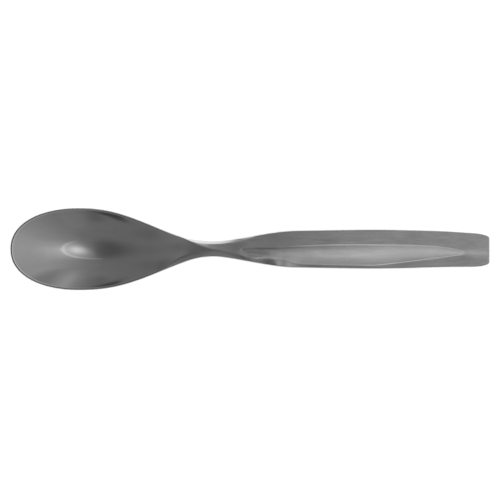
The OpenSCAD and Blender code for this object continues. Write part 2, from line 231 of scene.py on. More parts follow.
def rim_fall(t, square):
    level = np.cos(np.pi * t)
    return (1 - np.sign(level) * np.abs(level) ** square) / 2


# Thickness of the rim, and of the wall at a place across the bowl. Both grow towards the neck.
thickens = (bowl_deepest, neck_at)


def rim_th(s):
    return mix(rim_t, neck_t, ramp(thickens, s))


def wall_th(s, v):
    floor_th = mix(bowl_floor, neck_t, ramp(thickens, s))
    return mix(floor_th, rim_th(s), v * v)


# The turned bar: a bevel grows along its right edge, and on the left the bowl's inside runs out as a
# narrow facet, which ends as the land along the handle's left edge. The spans of the lean and the bevel
# are shares of the twist, and those of the run-out are in its own lengths, from the joint.
twist_l = 26.0
neck_lean = 1.2
lean_fades = (1.0, 0.55)
edge_w = 0.15
chamfer_w = 1.25
bevel_fall = 0.92
bevel_grows = (0.2, 0.52)
bevel_fades = (1.35, 1.05)
bevel_share = 0.15
land_w = 1.2
land_slope = 0.22
runout_w = 1.3
runout_end_w = 3.0
runout_l = 12.0
runout_widens = (0.2, 1.1)
runout_narrows = (1.25, 2.25)
bar_slope = 0.6
mouth_slope = 0.3
end_slope = -0.03
runout_eases = (-1.0, 0.0)
runout_levels = (0.55, 1.3)
runout_tips = (1.5, 2.5)


def turn_u(s):
    return (s - joint_at + twist_l) / twist_l


def runout_u(s):
    return (s - joint_at) / runout_l


def bevel(s):
    return mix(edge_w, chamfer_w, ramp(bevel_grows, turn_u(s)) * ramp(bevel_fades, turn_u(s)))


def runout_width(s):
    opened = mix(runout_w, runout_end_w, ramp(runout_widens, runout_u(s)))
    return mix(opened, land_w, ramp(runout_narrows, runout_u(s)))


def runout_slope(s):
    bar = mix(bar_slope, mouth_slope, ramp(runout_eases, runout_u(s)))
    levelled = mix(bar, end_slope, ramp(runout_levels, runout_u(s)))
    return mix(levelled, land_slope, ramp(runout_tips, runout_u(s)))


def left_top(s):
    return runout_width(s) - half(s)


# The flute: a leaf-shaped hollow between the ridge on its right and its border on the left. Spans are
# shares of its length, apart from border_wears, which is in run-out lengths, as land_tips is below.
flute_at = joint_at - 2.5
flute_end = spoon_l - 9.0
flute_tip_y = 1.0
flute_tip_w = 0.3
near_tip_opens = (0.0, 0.015)
far_tip_closes = (1.0, 0.96)
ridge_y = 1.8
ridge_lead = 0.22
ridge_bends = (0.0, 0.04)
ridge_rises = (0.04, 0.46)
ridge_falls = (0.48, 1.0)
ridge_power = 4.5
border_h = 0.45
border_lead = 0.55
border_bends = (0.0, 0.06)
border_grows = (0.19, 0.6)
border_closes = 0.4
border_power = 0.65
border_sinks = (1.0, 0.74)
border_wears = (0.0, 1.5)
facet_h = 1.8
facet_slope = facet_h / (handle_w / 2 - ridge_y)
flute_d = 0.4
flute_slope = 4 * flute_d / (handle_w / 2 + ridge_y - land_w)
near_steepness = (1.3, 1.1)
near_eases = (0.0, 0.08)
middle_eases = (0.48, 0.68)
flute_skew = 0.4
skew_starts = (0.09, 0.19)
skew_ends = (0.5, 0.25)


def leaf_u(s):
    return np.clip((s - flute_at) / (flute_end - flute_at), 0.0, 1.0)


def ridge(s):
    u = leaf_u(s)
    start = max(-flute_tip_y, left_top(s) + edge_w + flute_tip_w)
    lead = mix(start, ridge_lead * ridge_y, ramp(ridge_bends, u))
    rise = (1 - ridge_lead) * ridge_y * ramp(ridge_rises, u)
    fallen = np.clip((u - ridge_falls[0]) / (ridge_falls[1] - ridge_falls[0]), 0.0, 1.0) ** ridge_power
    return lead + rise - (ridge_y + flute_tip_y) * fallen


def border(s):
    u = leaf_u(s)
    outer = left_top(s) + edge_w
    tip = -flute_tip_y - flute_tip_w
    closing = mix(tip, outer, np.clip((1 - u) / border_closes, 0.0, 1.0) ** border_power)
    return mix(max(tip, outer), closing, ramp(border_bends, u))


def border_rise(s):
    u = leaf_u(s)
    plane = facet_slope * (ridge(s) - border(s))
    worn_h = border_h * mix(border_lead, 1.0, ramp(border_grows, u)) * ramp(border_sinks, u)
    return mix(plane, worn_h, ramp(border_wears, runout_u(s)))


# Slope of the flute's wall at the ridge. A hollow with a parabola for a section, as the flute has
# where it isn't skewed, starts with four times its depth over its width.
def steepness(s):
    near = mix(near_steepness[0], near_steepness[1], ramp(near_eases, leaf_u(s)))
    return flute_slope * mix(near, 1.0, ramp(middle_eases, leaf_u(s)))


def skew_power(s):
    return 1 + flute_skew * ramp(skew_starts, leaf_u(s)) * ramp(skew_ends, leaf_u(s))


# Height of the handle's top face: the plain facet rises from the right edge to the ridge, the flute
# lies between the ridge and its border, and the land falls from the border to the left. Past the
# flute's tips the facet and the land meet as a roof. In the neck the top also falls to the right.
land_tips = (0.35, 1.35)
crown_l = 28.0
crown_h = 1.3


def top_z(s, y):
    w = half(s)
    r = ridge(s)
    b = border(s)
    lean = neck_lean * ramp(lean_fades, turn_u(s)) * (y + w) / (2 * w)
    facet = facet_slope * (w - y)
    ridge_z = facet_slope * (w - r)
    border_z = ridge_z + border_rise(s)
    land = border_z - mix(-facet_slope, runout_slope(s), ramp(land_tips, runout_u(s))) * (b - y)
    roof = soft_min(facet, land, hair + crown_h * ramp((spoon_l - crown_l, spoon_l), s))
    t = np.clip((r - y) / (r - b), 0.0, 1.0)
    flute = mix(ridge_z, border_z, t) - steepness(s) * (r - b) * t * (1 - t) ** skew_power(s)
    fluted = np.where(y > r, facet, np.where(y < b, land, flute))
    cut = ramp(near_tip_opens, leaf_u(s)) * ramp(far_tip_closes, leaf_u(s))
    return line_z(s) - lean + mix(roof, fluted, cut)


# Points of the top face at places across it, or of a face that lies by an inset further in
def top_points(s, y, inset=0.0):
    inner_y = y * (half(s) - inset) / half(s)
    return np.stack([inner_y, top_z(s, inner_y) - inset], axis=-1)


# The handle's underside: a full curve by angles in degrees, from 0 at the left edge to the right edge
mouth_h = 5.2
handle_h = 6.2
hull_power = 2.6
bottom_angle = 90.0
right_edge_angle = 180.0


def handle_depth(s):
    if s < handle_widest:
        return mix(mouth_h, handle_h, ramp((joint_at, handle_widest), s))
    return mix(handle_h, butt_h, ((s - handle_widest) / (spoon_l - handle_widest)) ** 2)


def hull_points(s, angle, inset=0.0):
    a = np.radians(angle)
    on_left = angle <= bottom_angle
    left_z = top_z(s, left_top(s)) - runout_width(s) * runout_slope(s)
    right_z = top_z(s, half(s) - bevel(s)) - bevel_fall * bevel(s)
    edge_z = np.where(on_left, left_z, right_z) - inset
    floor_z = line_z(s) - handle_depth(s) + inset
    y = np.where(on_left, -1, 1) * (half(s) - inset) * np.abs(np.cos(a)) ** (2 / hull_power)
    return np.stack([y, mix(edge_z, floor_z, np.sin(a) ** (2 / hull_power))], axis=-1)


# A section of the forging has four sides: inside, left rim, outside, right rim. In the neck each side
# turns into the side of the bar that it becomes: run-out, left flank, back with its bevel, top.
wide_n = 96
narrow_n = 32
crowding = 0.7
side_angle = 60.0
lift_share = 0.35


# Shares from 0 to 1 that lie closer together towards both ends
def crowded(n):
    t = np.linspace(0.0, 1.0, n + 1)
    return mix(t, (1 - np.cos(np.pi * t)) / 2, crowding)


wide_t = crowded(wide_n)
narrow_t = crowded(narrow_n)[1:-1]
across_v = 1 - 2 * wide_t


def column(t):
    return t[:, None]


def bowl_sides(s):
    inner = half(s) - rim_r(s)
    square = mix(rim_square, 1.0, smooth(land_u(s)))
    turn_in = rim_r(s) * rim_out(narrow_t, square)
    fall = rim_th(s) * rim_fall(narrow_t, square)
    inside = np.stack([across_v * inner, dish_z(s, across_v)], axis=-1)
    left = np.stack([-inner - turn_in, inside[-1, 1] - fall], axis=-1)
    outside = np.stack([-across_v * inner, dish_z(s, -across_v) - wall_th(s, across_v)], axis=-1)
    right = np.stack([inner + turn_in, inside[0, 1] - rim_th(s) + fall], axis=-1)
    return [inside, left, outside, right]


def bar_sides(s):
    crest = top_points(s, np.array([left_top(s)]))
    corner = top_points(s, np.array([half(s) - bevel(s)]))
    runout = mix(crest, hull_points(s, np.array([0.0])), column(wide_t))
    flank = hull_points(s, side_angle * narrow_t)
    back_t = np.clip(wide_t / (1 - bevel_share), 0.0, 1.0)
    hull = hull_points(s, mix(side_angle, right_edge_angle, back_t))
    slant = np.clip((wide_t - 1 + bevel_share) / bevel_share, 0.0, 1.0)
    top = top_points(s, mix(half(s) - bevel(s), left_top(s), narrow_t))
    return [runout, flank, mix(hull, corner, column(slant)), top]


# Corners are broken as a polishing wheel breaks them: near a corner each point moves to the mean of
# the outline within reach of it. A corner is its place in the ring, its radius and its wear. The third
# column of a softened section says how worn each point is, from 0 to 1; the finish makes worn points
# smoother and also paints them lighter, a painted highlight.
edge_polish = 0.5


def soften(ring, corners):
    n = len(ring)
    closed = np.vstack([ring, ring[:1]])
    step = np.linalg.norm(np.diff(closed, axis=0), axis=1)
    along = np.concatenate([[0.0], np.cumsum(step)])
    swept = np.cumsum((closed[1:] + closed[:-1]) / 2 * column(step), axis=0)
    swept = np.vstack([np.zeros(2), swept])
    reach = np.zeros(n)
    worn = np.zeros(n)
    for index, radius, corner_wear_and_highlight in corners:
        gap = np.abs(along[:-1] - along[index])
        gap = np.minimum(gap, along[-1] - gap)
        reach = np.maximum(reach, radius * np.clip(2 - gap / radius, 0.0, 1.0))
        worn = np.maximum(worn, corner_wear_and_highlight * np.clip(1 - gap / edge_polish, 0.0, 1.0))

    def sweep_to(a):
        laps = np.floor(a / along[-1])
        a = a - laps * along[-1]
        k = np.clip(np.searchsorted(along, a, side="right") - 1, 0, n - 1)
        d = column(a - along[k])
        way = (closed[k + 1] - closed[k]) / column(np.maximum(step[k], hair * MM))
        return swept[k] + closed[k] * d + way * d ** 2 / 2 + column(laps) * swept[-1]

    near = reach > hair * hair
    here = along[:-1][near]
    softened = ring.copy()
    softened[near] = (sweep_to(here + reach[near]) - sweep_to(here - reach[near])) / column(2 * reach[near])
    return np.column_stack([softened, worn])


# Rounding where the sides meet: one radius in the bowl, and in the bar between top and run-out,
# run-out and flank, flank and back, back and top. It changes over a span in shares of the twist.
rim_round = 0.12
bar_rounds = (0.8, 0.2, 0.25, 0.35)
rounds_change = (-0.1, 0.4)


# The outside's right edge lifts first, early in the twist, and the other sides turn with the bar
def forging_ring(s):
    inside, left, outside, right = bowl_sides(s)
    turn = smooth(turn_u(s))
    lift = smooth(turn_u(s) / lift_share)
    if lift > 0:
        runout, flank, back, top = bar_sides(s)
        t = column(narrow_t)
        bowl_bulge = right - mix(outside[-1], inside[0], t)
        bar_bulge = top - mix(back[-1], runout[0], t)
        inside = mix(inside, runout, turn)
        left = mix(left, flank, turn)
        outside = mix(outside, back, column(mix(turn, lift, wide_t)))
        right = mix(outside[-1], inside[0], t) + bowl_bulge * (1 - lift) + bar_bulge * turn
    places = (0, wide_n, wide_n + narrow_n, 2 * wide_n + narrow_n)
    turned = ramp(rounds_change, turn_u(s))
    radii = mix(rim_round, np.array(bar_rounds), turned)
    corners = [(place, radius, 1.0) for place, radius in zip(places, radii)]
    return soften(np.vstack([inside, left, outside, right]), corners)


# The front of the bowl is made of half sections fanned round its deepest place, so that the rim is
# as round at the tip as it is at the sides.
fan_n = 120
half_n = wide_n // 2
search_steps = 60


# Half the width of the outline at places s, less a rim of the given width all round
def inner_half(s, rim):
    tip = np.clip((bowl_widest - s) / (bowl_widest - rim), 0.0, 1.0)
    front = (bowl_w / 2 - rim) * (1 - tip ** tip_power) ** (1 / tip_power)
    behind = np.array([half(max(k, bowl_widest)) - rim for k in s])
    return np.where(s > bowl_widest, behind, front)


# Distance from the deepest place to that outline in each direction, found by halving
def reach_to_outline(direction, rim):
    low = np.zeros(len(direction))
    high = np.full(len(direction), 2 * bowl_w)
    for _ in range(search_steps):
        r = (low + high) / 2
        s = bowl_deepest + r * np.cos(direction)
        outside = (np.abs(r * np.sin(direction)) > inner_half(s, rim)) | (s < rim)
        high = np.where(outside, r, high)
        low = np.where(outside, low, r)
    return (low + high) / 2


# Height of the inside at places (s, y). The hollow is shortened a little, to end at the rim.
def front_dish_z(places):
    s = places[:, 0]
    stretched = np.clip((s - rim_w) * bowl_deepest / (bowl_deepest - rim_w), 0.0, None)
    v = np.clip(np.abs(places[:, 1]) / np.maximum(inner_half(s, rim_w), hair), 0.0, 1.0)
    deep = np.array([hollow(k) for k in stretched])
    return np.array([line_z(k) for k in s]) - deep * dished(s, v)


fan = np.linspace(0.5 * np.pi, 1.5 * np.pi, fan_n + 1)
fan_inner = reach_to_outline(fan, rim_w)
fan_outer = reach_to_outline(fan, 0.0)
half_v = -across_v[half_n + 1:]
rim_corners = [(half_n - 1, rim_round, 1.0), (half_n + narrow_n - 1, rim_round, 1.0)]


def half_section(j):
    direction = np.array([np.cos(fan[j]), np.sin(fan[j])])
    radius = half_v * fan_inner[j]
    inside_z = front_dish_z(np.array([bowl_deepest, 0.0]) + column(radius) * direction)
    outside_z = inside_z - mix(bowl_floor, rim_t, half_v ** 2)
    rim_radius = fan_inner[j] + (fan_outer[j] - fan_inner[j]) * rim_out(narrow_t, rim_square)
    rim_z = inside_z[-1] - rim_t * rim_fall(narrow_t, rim_square)
    radii = np.concatenate([radius, rim_radius, radius[::-1]])
    heights = np.concatenate([inside_z, rim_z, outside_z[::-1]])
    profile = soften(np.stack([radii, heights], axis=-1), rim_corners)
    s = bowl_deepest + profile[:, 0] * direction[0]
    return np.column_stack([s, profile[:, 0] * direction[1], profile[:, 1:]])


def placed(s, ring):
    return np.column_stack([np.full(len(ring), s), ring])


# The tang: a bar with rounded corners along the middle of the handle. Each of its points lies straight
# inwards of a point of the section at the joint.
tang_w = 4.0
tang_t = 2.0
tang_taper = 0.8
tang_power = 5


def bar_middle_z(s):
    return (top_z(s, 0.0) + line_z(s) - handle_depth(s)) / 2


def tang_ring(s, around):
    size = mix(1.0, tang_taper, (s - joint_at) / (tang_end - joint_at))
    way = around[:, :2] - np.array([0.0, bar_middle_z(joint_at)])
    way = way / column(np.linalg.norm(way, axis=1))
    far = np.abs(way[:, 0] / (tang_w / 2 * size)) ** tang_power
    far = far + np.abs(way[:, 1] / (tang_t / 2 * size)) ** tang_power
    ring = way * column(far ** (-1 / tang_power)) + np.array([0.0, bar_middle_z(s)])
    return np.column_stack([ring, np.zeros(len(ring))])


# The bowl's rear end and the butt lean a little to the left, as hand grinding leaves them
lean_y = 0.5
lean_starts = (30.0, 62.0)
lean_ends = (81.0, 67.0)
butt_lean_y = 0.45
butt_leans = (178.0, 199.0)


def leaned(points):
    s = points[:, 0]
    shift = lean_y * ramp(lean_starts, s) * ramp(lean_ends, s) + butt_lean_y * ramp(butt_leans, s)
    return points - column(shift) * np.array([0.0, 1.0, 0.0, 0.0])


# The skin's points (s, y, z, wear) are the deepest place inside and outside, the fanned half sections,
# the whole sections behind them as far as the joint, and the tang with one point in its end
rear_n = 180
tang_n = 14
inside_k = 0
outside_k = 1
fan_k = 2
floor_z = rim_h - hollow(bowl_deepest)
deepest = [[bowl_deepest, 0.0, floor_z, 0.0], [bowl_deepest, 0.0, floor_z - bowl_floor, 0.0]]
bowl_points = [np.array(deepest)]
bowl_points += [half_section(j) for j in range(fan_n + 1)]
section_n = 2 * half_n + narrow_n - 1
bowl_faces = []
for j in range(fan_n):
    a = fan_k + j * section_n
    b = a + section_n
    bowl_faces.append((inside_k, a, b))
    bowl_faces.append((outside_k, b + section_n - 1, a + section_n - 1))
    bowl_faces += [(a + k, a + k + 1, b + k + 1, b + k) for k in range(section_n - 1)]

first = fan_k + np.arange(section_n)
last = first + fan_n * section_n
ring = np.concatenate([first[:half_n][::-1], [inside_k], last, [outside_k], first[half_n:][::-1]])
ring_n = len(ring)
count = fan_k + (fan_n + 1) * section_n
mouth = forging_ring(joint_at)
rear = [placed(s, forging_ring(s)) for s in np.linspace(bowl_deepest, joint_at, rear_n + 1)[1:]]
tang = [placed(s, tang_ring(s, mouth)) for s in np.linspace(joint_at, tang_end, tang_n + 1)]
for block in rear + tang:
    bowl_points.append(block)
    following = count + np.arange(ring_n)
    for k in range(ring_n):
        m = (k + 1) % ring_n
        bowl_faces.append((ring[k], following[k], following[m], ring[m]))
    ring = following
    count += ring_n
bowl_points.append(np.array([[tang_end, 0.0, bar_middle_z(tang_end), 0.0]]))
bowl_faces += [(ring[k], count, ring[(k + 1) % ring_n]) for k in range(ring_n)]

# A steel piece from blocks of such points and the faces between them. Edges that turn by more than
# sharp_angle, in degrees, are shaded sharp.
sharp_angle = 50


def steel_piece(name, blocks, faces, finish):
    points = leaned(np.vstack(blocks))
    mesh = bpy.data.meshes.new(name)
    made = bmesh.new()
    corners = [made.verts.new(((s - spoon_l / 2) * MM, y * MM, z * MM)) for s, y, z in points[:, :-1]]
    for face in faces:
        made.faces.new([corners[k] for k in face])
    bmesh.ops.recalc_face_normals(made, faces=made.faces)
    made.to_mesh(mesh)
    made.free()
    # Per point: wear that smooths the steel, and a painted highlight that lightens its tone
    mesh.attributes.new("worn", "FLOAT", "POINT").data.foreach_set("value", points[:, -1])
    mesh.shade_smooth()
    mesh.set_sharp_from_angle(angle=np.radians(sharp_angle))
    mesh.materials.append(finish)
    piece = bpy.data.objects.new(name, mesh)
    bpy.context.collection.objects.link(piece)
    return piece


# A finish is worked out by noise and bumps at places on the piece itself, in metres. The noise goes
# from 0 to 1, and most of it lies in noise_span.
noise_span = (0.3, 0.7)
coarse_detail = 3
bump_strength = 1


class Finish:
    def __init__(self, name):
        self.material = bpy.data.materials.new(name)
        self.material.use_nodes = True
        self.nodes = self.material.node_tree.nodes
        self.link = self.material.node_tree.links.new
        self.shader = self.nodes["Principled BSDF"]
        self.place = self.nodes.new("ShaderNodeTexCoord").outputs["Object"]

    # Noise with grains of the given length along the spoon and width across it
    def grain(self, length, width, detail=coarse_detail):
        stretch = self.nodes.new("ShaderNodeMapping")
        stretch.inputs["Scale"].default_value = (1 / length, 1 / width, 1 / width)
        self.link(self.place, stretch.inputs["Vector"])
        noise = self.nodes.new("ShaderNodeTexNoise")
        noise.inputs["Scale"].default_value = 1
        noise.inputs["Detail"].default_value = detail
        self.link(stretch.outputs["Vector"], noise.inputs["Vector"])
        return noise.outputs["Fac"]

    # A value that goes from low to high over a span, and either stays there beyond its ends or goes on
    def spread(self, value, low, high, span=(0, 1), stays=True):
        scale = self.nodes.new("ShaderNodeMapRange")
        scale.clamp = stays
        scale.inputs["From Min"].default_value = span[0]
        scale.inputs["From Max"].default_value = span[1]
        scale.inputs["To Min"].default_value = low
        scale.inputs["To Max"].default_value = high
        self.link(value, scale.inputs["Value"])
        return scale.outputs["Result"]

    # Noise that mostly lies between low and high
    def vary(self, noise, low, high):
        return self.spread(noise, low, high, noise_span, stays=False)

    def product(self, *values):
        result = values[0]
        for value in values[1:]:
            times = self.nodes.new("ShaderNodeMath")
            times.operation = "MULTIPLY"
            self.link(result, times.inputs[0])
            self.link(value, times.inputs[1])
            result = times.outputs["Value"]
        return result

    # Layers of noise with their heights, one bump over the other
    def bumps(self, *layers):
        normal = None
        for height, depth in layers:
            bump = self.nodes.new("ShaderNodeBump")
            bump.inputs["Strength"].default_value = bump_strength
            bump.inputs["Distance"].default_value = depth
            self.link(height, bump.inputs["Height"])
            if normal:
                self.link(normal, bump.inputs["Normal"])
            normal = bump.outputs["Normal"]
        self.link(normal, self.shader.inputs["Normal"])


# Steel finish: streaks of the brushing belt along the spoon, a soft waviness left by hand, smudges,
# and edges that are smoother where hands and cloths have polished them. Worn edges and the ridge are
# also lighter in tone, a painted highlight. The tone and the roughness go from their first value to
# their second over the stretch change, along x. Marks are given by their length and width, in metres,
# and so are their heights.
smudge = (0.012, 0.012)
smudge_detail = 4
smudge_roughens = (0.9, 1.15)
hairline = (0.010, 0.0002)
belt_mark = (0.014, 0.0011)
wave = (0.008, 0.003)
streaks_in_tone = 0.2
edge_smooths = (1.0, 0.75)
# A painted highlight: the tone of worn edges and of the ridge is raised by this much
edge_painted_highlight = (1.0, 1.22)


def steel_finish(name, tones, roughness, change, streaky, hairline_h, belt_h, wave_h):
    finish = Finish(name)
    waves = finish.grain(*wave)
    hairlines = finish.grain(*hairline)
    belt = finish.grain(*belt_mark)
    smudges = finish.grain(*smudge, detail=smudge_detail)
    worn = finish.nodes.new("ShaderNodeAttribute")
    worn.attribute_name = "worn"
    edge = worn.outputs["Fac"]
    split = finish.nodes.new("ShaderNodeSeparateXYZ")
    finish.link(finish.place, split.inputs["Vector"])

    base_rough = finish.spread(split.outputs["X"], *roughness, span=change)
    belt_rough = finish.vary(belt, 1 - streaky, 1 + streaky)
    smudge_rough = finish.vary(smudges, *smudge_roughens)
    edge_rough = finish.spread(edge, *edge_smooths)
    rough = finish.product(base_rough, belt_rough, smudge_rough, edge_rough)
    finish.link(rough, finish.shader.inputs["Roughness"])

    base_tone = finish.spread(split.outputs["X"], *tones, span=change)
    tone_change = streaks_in_tone * streaky
    smudge_tone = finish.vary(smudges, 1 - tone_change, 1 + tone_change)
    belt_tone = finish.vary(belt, 1 - tone_change, 1 + tone_change)
    # Painted highlight: worn edges and the ridge are given a lighter tone
    painted_highlight_tone = finish.spread(edge, *edge_painted_highlight)
    tone = finish.product(base_tone, smudge_tone, belt_tone, painted_highlight_tone)
    finish.link(tone, finish.shader.inputs["Base Color"])
    finish.shader.inputs["Metallic"].default_value = 1.0
    finish.bumps((waves, wave_h), (belt, belt_h), (hairlines, hairline_h))
    return finish.material


polished_steel = steel_finish(
    "polished_steel",
    tones=(0.57, 0.72),
    roughness=(0.08, 0.2),
    change=(-0.042, -0.023),
    streaky=0.08,
    hairline_h=0.0000008,
    belt_h=0.000004,
    wave_h=0.000006,
)
bowl = steel_piece("spoon_bowl", bowl_points, bowl_faces, polished_steel)
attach(bowl, "root")
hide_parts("bowl")

# Cement. Hardened filler that is poured into the handle round the tang and holds it there. It can't
# be seen once the handle is closed, and its solid stays as it is, with a gritty pale finish. Sizes of
# the grit are in metres.
grit_size = (0.0011, 0.0011)
grit_detail = 6
grit_dark = (0.38, 0.35, 0.30, 1)
grit_pale = (0.58, 0.54, 0.47, 1)
grit_rough = 0.85
grit_h = 0.0001
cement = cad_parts["tang_cement"]
gritty = Finish("gritty_cement")
grit = gritty.grain(*grit_size, detail=grit_detail)
grit_colour = gritty.nodes.new("ShaderNodeValToRGB")
grit_colour.color_ramp.elements[0].color = grit_dark
grit_colour.color_ramp.elements[1].color = grit_pale
gritty.link(grit, grit_colour.inputs["Fac"])
gritty.link(grit_colour.outputs["Color"], gritty.shader.inputs["Base Color"])
gritty.shader.inputs["Roughness"].default_value = grit_rough
gritty.bumps((grit, grit_h))
cement.data.materials.clear()
cement.data.materials.append(gritty.material)

# Right shell of the handle. A pressed half of thin sheet steel: the plain facet of the top face, its
# edge and half of the rounded underside. It is brazed to the other half along the ridge and below.
shell_end = shell_high.x / MM + spoon_l / 2
shell_t = 0.9
shell_n = 220

# Points in each stretch of a section of the handle, from the right end of the top face leftwards and
# back along the underside, and the places in the section where the stretches meet
facet_n = 28
flute_n = 44
land_n = 12
runout_n = 12
bevel_n = 8
hull_n = 40
ridge_k = facet_n
border_k = ridge_k + flute_n
left_top_k = border_k + land_n
left_edge_k = left_top_k + runout_n
bottom_k = left_edge_k + hull_n
right_edge_k = bottom_k + hull_n
handle_ring_n = right_edge_k + bevel_n


def handle_ring(s, inset=0.0):
    facet = mix(half(s) - bevel(s), ridge(s), crowded(facet_n)[:-1])
    flute = mix(ridge(s), border(s), crowded(flute_n)[:-1])
    land = mix(border(s), left_top(s), crowded(land_n))
    top = top_points(s, np.concatenate([facet, flute, land]), inset)
    left_edge = hull_points(s, np.array([0.0]), inset)
    runout = mix(top[-1], left_edge, column(crowded(runout_n)[1:-1]))
    to_bottom = bottom_angle * crowded(hull_n)[:-1]
    to_right_edge = mix(bottom_angle, right_edge_angle, crowded(hull_n))
    hull = hull_points(s, np.concatenate([to_bottom, to_right_edge]), inset)
    right_bevel = mix(hull[-1], top[0], column(crowded(bevel_n)[1:-1]))
    return np.vstack([top, runout, hull, right_bevel])


# Each of the handle's corners: its place, its rounding and wear at the mouth, those further on, and
# the stretch past the joint in which they change. The wear also sets a painted highlight on the corner.
handle_corners = (
    (0, (0.35, 0.5), (0.25, 0.5), (0.0, 9.0)),
    (ridge_k, (0.15, 1.0), (0.2, 1.0), (0.0, 25.0)),
    (border_k, (0.05, 0.2), (0.25, 1.0), (42.0, 62.0)),
    (left_top_k, (0.8, 0.3), (0.2, 0.3), (0.0, 20.0)),
    (left_edge_k, (0.25, 0.3), (0.25, 0.3), (0.0, 20.0)),
    (right_edge_k, (0.25, 0.5), (0.25, 0.5), (0.0, 20.0)),
)

# Towards the butt, past where the hand holds the handle, the edges are less worn, and their painted
# highlight is fainter
butt_wear_and_highlight = 0.4
wear_and_highlight_fades = (150.0, 185.0)


def outer_ring(s, inset=0.0):
    corners = []
    for place, at_mouth, later, stretch in handle_corners:
        radius, corner_wear_and_highlight = mix(np.array(at_mouth), np.array(later), ramp(stretch, s - joint_at))
        corners.append((place, radius, corner_wear_and_highlight))
    ring = soften(handle_ring(s, inset), corners)
    ring[:, -1] *= mix(1.0, butt_wear_and_highlight, ramp(wear_and_highlight_fades, s))
    return ring


def inner_ring(s, inset):
    ring = handle_ring(s, inset)
    return np.column_stack([ring, np.zeros(len(ring))])


brushed_steel = steel_finish(
    "brushed_steel",
    tones=(0.72, 0.52),
    roughness=(0.2, 0.2),
    change=(-0.002, 0.02),
    streaky=0.3,
    hairline_h=0.000002,
    belt_h=0.000012,
    wave_h=0.00006,
)


# One half of the handle, from the joint to the cap: its outer wall, its inner wall, and the faces that
# close them along the seams and at both ends
def shell_half(name, indices):
    blocks = []
    for s in np.linspace(joint_at, shell_end, shell_n):
        outer = outer_ring(s)[indices]
        inner = inner_ring(s, shell_t)[indices]
        blocks.append(placed(s, np.vstack([outer, inner[::-1]])))
    n = len(blocks[0])
    faces = []
    for r in range(shell_n - 1):
        for k in range(n):
            m = (k + 1) % n
            faces.append((r * n + k, r * n + m, r * n + n + m, r * n + n + k))
    for k in range(n // 2 - 1):
        for start in (0, (shell_n - 1) * n):
            faces.append((start + k, start + k + 1, start + n - 2 - k, start + n - 1 - k))
    return steel_piece(name, blocks, faces, brushed_steel)


right_indices = np.concatenate([np.arange(bottom_k, handle_ring_n), np.arange(ridge_k + 1)])
right_shell = shell_half("handle_right", right_indices)
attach(right_shell, "root")
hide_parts("handle_right_shell")

# Left shell of the handle. The other pressed half, with the leaf-shaped flute beside the ridge, the
# land between the flute and the edge, and the facet in which the turned neck runs out.
left_shell = shell_half("handle_left", np.arange(ridge_k, bottom_k + 1))
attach(left_shell, "root")
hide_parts("handle_left_shell")

# Butt cap. A steel plate that closes the end of the handle, set in by a spigot, brazed and ground
# flush with the shells. Its outer edge is rounded over.
spigot_l = 3.0
fit_gap = 0.05
cap_round = 0.5
cap_flat = 0.2
quarter_turn = 90
side_n = 3
round_n = 8

# Its rings from the spigot's inner end to the outer face, and then the middles of both ends
cap_rings = []
for s in (shell_end - spigot_l, shell_end):
    cap_rings.append(placed(s, inner_ring(s, shell_t + fit_gap)))
for s in np.linspace(shell_end, spoon_l - cap_round, side_n + 1):
    cap_rings.append(placed(s, outer_ring(s)))
for angle in np.radians(np.linspace(0, quarter_turn, round_n + 1)[1:]):
    s = spoon_l - cap_round * (1 - np.sin(angle))
    cap_rings.append(placed(s, outer_ring(s, cap_round * (1 - np.cos(angle)))))
cap_rings.append(placed(spoon_l, outer_ring(spoon_l, cap_round + cap_flat)))
cap_faces = []
for r in range(len(cap_rings) - 1):
    for k in range(handle_ring_n):
        m = (k + 1) % handle_ring_n
        a = r * handle_ring_n
        b = a + handle_ring_n
        cap_faces.append((a + k, a + m, b + m, b + k))
last_ring = (len(cap_rings) - 1) * handle_ring_n
centre_k = len(cap_rings) * handle_ring_n
for start, centre in ((0, centre_k), (last_ring, centre_k + 1)):
    for k in range(handle_ring_n):
        cap_faces.append((start + k, start + (k + 1) % handle_ring_n, centre))
for ring in (cap_rings[0], cap_rings[-1]):
    cap_rings.append(ring.mean(axis=0)[None, :])
butt_cap = steel_piece("handle_butt", cap_rings, cap_faces, brushed_steel)
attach(butt_cap, "root")
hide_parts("butt_cap")

# Table. A plain white sheet of paper, much larger than the spoon, which rests on it with the underside
# of the bowl and with the butt. Its reach from the middle is in metres.
table_reach = 1.5
table_white = (0.9, 0.9, 0.9, 1)
table_rough = 1.0
sheet = bpy.data.meshes.new("table")
sheet_corners = [(x * table_reach, y * table_reach, 0) for x, y in ((-1, -1), (1, -1), (1, 1), (-1, 1))]
sheet.from_pydata(sheet_corners, [], [(0, 1, 2, 3)])
table = bpy.data.objects.new("table", sheet)
bpy.context.collection.objects.link(table)
white = bpy.data.materials.new("white_sheet")
white.use_nodes = True
paper = white.node_tree.nodes["Principled BSDF"]
paper.inputs["Base Color"].default_value = table_white
paper.inputs["Roughness"].default_value = table_rough
sheet.materials.append(white)

# Studio light. A large grey tent over the table, lighter towards the butt, with a strip lamp along its
# top on that side and a dark oval opening over the bowl, and an even lamp that whitens the table.
world = bpy.data.worlds.new("studio")
bpy.context.scene.world = world
world.use_nodes = True
sky = world.node_tree.nodes
sky_link = world.node_tree.links.new
sky_place = sky.new("ShaderNodeTexCoord")
sky_axes = sky.new("ShaderNodeSeparateXYZ")
sky_link(sky_place.outputs["Generated"], sky_axes.inputs["Vector"])
to_butt = sky_axes.outputs["X"]
to_right = sky_axes.outputs["Y"]
upwards = sky_axes.outputs["Z"]


def sky_math(operation, *values):
    node = sky.new("ShaderNodeMath")
    node.operation = operation
    for socket, value in zip(node.inputs, values):
        if isinstance(value, (int, float)):
            socket.default_value = value
        else:
            sky_link(value, socket)
    return node.outputs["Value"]


# A share of light by place. Each stop is a place and the share there, and the place is a direction's
# part along x, y or z, or in the oval its distance from the middle, which is 1 at the edge. A new stop
# stands at unplaced until it is moved.
unplaced = 0.5


